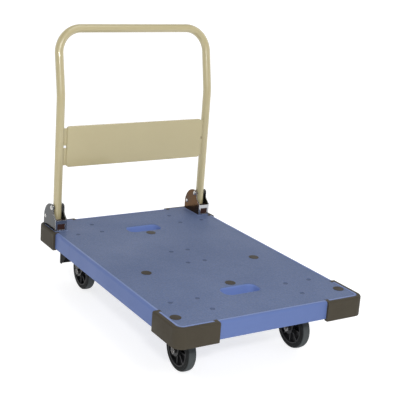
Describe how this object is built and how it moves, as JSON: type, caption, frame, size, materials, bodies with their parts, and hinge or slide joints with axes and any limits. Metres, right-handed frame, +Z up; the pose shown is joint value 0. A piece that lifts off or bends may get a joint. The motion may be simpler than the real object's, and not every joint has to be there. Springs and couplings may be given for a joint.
{
  "type": "folding platform cart",
  "caption": "Platform cart with a blue plastic deck, brown corner bumpers, beige tubular handle that folds flat, fixed front casters and braked swivel rear casters",
  "frame": {"origin": "on the floor, under the centre of the cart's outline", "axes": "+X to the right, looking from the open end to the handle; +Y along the deck towards the handle; +Z up from the floor"},
  "size_m": [0.624, 0.928, 0.8765],
  "materials": {
    "deck_plastic": "moulded slate-blue plastic with a fine gripping texture",
    "bumper_rubber": "matte brown-grey moulded rubber",
    "plug_rubber": "matte dark brown rubber",
    "brown_rubber": "matte reddish-brown rubber",
    "handle_paint": "semi-gloss beige powder coat",
    "bright_zinc": "bright zinc-plated pressed steel",
    "zinc_steel": "zinc-plated steel, slightly dulled",
    "ball_steel": "polished bearing balls",
    "black_paint": "gloss black paint on pressed steel",
    "black_plastic": "black moulded plastic, slightly glossy",
    "bearing_plastic": "plain grey bearing plastic",
    "tyre_rubber": "grey solid rubber"
  },
  "bodies": {
    "deck_body": {"deck": "deck_plastic", "bumper_front_left": "bumper_rubber", "bumper_front_right": "bumper_rubber", "bumper_rear_left": "bumper_rubber", "bumper_rear_right": "bumper_rubber", "bumper_screws": "zinc_steel", "grip_plugs": "plug_rubber", "bracket_left": "bright_zinc", "bracket_right": "bright_zinc", "pivot_pin_left": "bright_zinc", "pivot_pin_right": "bright_zinc", "lock_pins": "bright_zinc", "stop_blocks": "brown_rubber", "bracket_bolts": "zinc_steel", "bracket_washers": "zinc_steel", "bracket_nuts": "zinc_steel", "front_left_fork": "black_paint", "front_right_fork": "black_paint", "front_left_axle_bolt": "zinc_steel", "front_right_axle_bolt": "zinc_steel", "front_axle_nuts": "zinc_steel", "rear_left_plate": "black_paint", "rear_right_plate": "black_paint", "rear_left_balls": "ball_steel", "rear_right_balls": "ball_steel", "rear_left_kingpin": "zinc_steel", "rear_right_kingpin": "zinc_steel", "caster_bolts": "zinc_steel", "caster_nuts": "zinc_steel"},
    "handle_body": {"handle_tube": "handle_paint", "handle_panel": "handle_paint", "panel_tabs": "handle_paint", "leg_end_plugs": "black_plastic", "pivot_bushes": "bearing_plastic"},
    "lock_left_body": {"lock_pawl_left": "zinc_steel"},
    "front_left_wheel": {"front_left_tyre": "tyre_rubber", "front_left_hub": "black_plastic", "front_left_bearing": "bearing_plastic"},
    "rear_left_swivel_body": {"rear_left_fork": "black_paint", "rear_left_brake_pin": "zinc_steel", "rear_left_axle_bolt": "zinc_steel", "rear_left_axle_nut": "zinc_steel"},
    "rear_left_wheel": {"rear_left_tyre": "tyre_rubber", "rear_left_hub": "black_plastic", "rear_left_bearing": "bearing_plastic"},
    "brake_left_body": {"rear_left_brake_pedal": "black_plastic"},
    "lock_right_body": {"lock_pawl_right": "zinc_steel"},
    "front_right_wheel": {"front_right_tyre": "tyre_rubber", "front_right_hub": "black_plastic", "front_right_bearing": "bearing_plastic"},
    "rear_right_swivel_body": {"rear_right_fork": "black_paint", "rear_right_brake_pin": "zinc_steel", "rear_right_axle_bolt": "zinc_steel", "rear_right_axle_nut": "zinc_steel"},
    "rear_right_wheel": {"rear_right_tyre": "tyre_rubber", "rear_right_hub": "black_plastic", "rear_right_bearing": "bearing_plastic"},
    "brake_right_body": {"rear_right_brake_pedal": "black_plastic"}
  },
  "joints": [
    {"name": "handle_fold", "type": "hinge", "parent": "deck_body", "child": "handle_body", "pos_m": [0, 0.385, 0.278], "axis": [1, 0, 0], "range_deg": [0, 97.5]},
    {"name": "lock_left", "type": "hinge", "parent": "deck_body", "child": "lock_left_body", "pos_m": [-0.278, 0.434, 0.2365], "axis": [1, 0, 0], "range_deg": [-90, 0]},
    {"name": "front_left_spin", "type": "hinge", "parent": "deck_body", "child": "front_left_wheel", "pos_m": [-0.196, -0.305, 0.0625], "axis": [1, 0, 0], "continuous": true},
    {"name": "rear_left_swivel", "type": "hinge", "parent": "deck_body", "child": "rear_left_swivel_body", "pos_m": [-0.196, 0.296, 0.15], "axis": [0, 0, 1], "continuous": true},
    {"name": "rear_left_spin", "type": "hinge", "parent": "rear_left_swivel_body", "child": "rear_left_wheel", "pos_m": [-0.196, 0.331, 0.0625], "axis": [1, 0, 0], "continuous": true},
    {"name": "brake_left", "type": "hinge", "parent": "rear_left_swivel_body", "child": "brake_left_body", "pos_m": [-0.196, 0.376, 0.122], "axis": [1, 0, 0], "range_deg": [-14, 0]},
    {"name": "lock_right", "type": "hinge", "parent": "deck_body", "child": "lock_right_body", "pos_m": [0.278, 0.434, 0.2365], "axis": [1, 0, 0], "range_deg": [-90, 0]},
    {"name": "front_right_spin", "type": "hinge", "parent": "deck_body", "child": "front_right_wheel", "pos_m": [0.196, -0.305, 0.0625], "axis": [1, 0, 0], "continuous": true},
    {"name": "rear_right_swivel", "type": "hinge", "parent": "deck_body", "child": "rear_right_swivel_body", "pos_m": [0.196, 0.296, 0.15], "axis": [0, 0, 1], "continuous": true},
    {"name": "rear_right_spin", "type": "hinge", "parent": "rear_right_swivel_body", "child": "rear_right_wheel", "pos_m": [0.196, 0.331, 0.0625], "axis": [1, 0, 0], "continuous": true},
    {"name": "brake_right", "type": "hinge", "parent": "rear_right_swivel_body", "child": "brake_right_body", "pos_m": [0.196, 0.376, 0.122], "axis": [1, 0, 0], "range_deg": [-14, 0]}
  ]
}
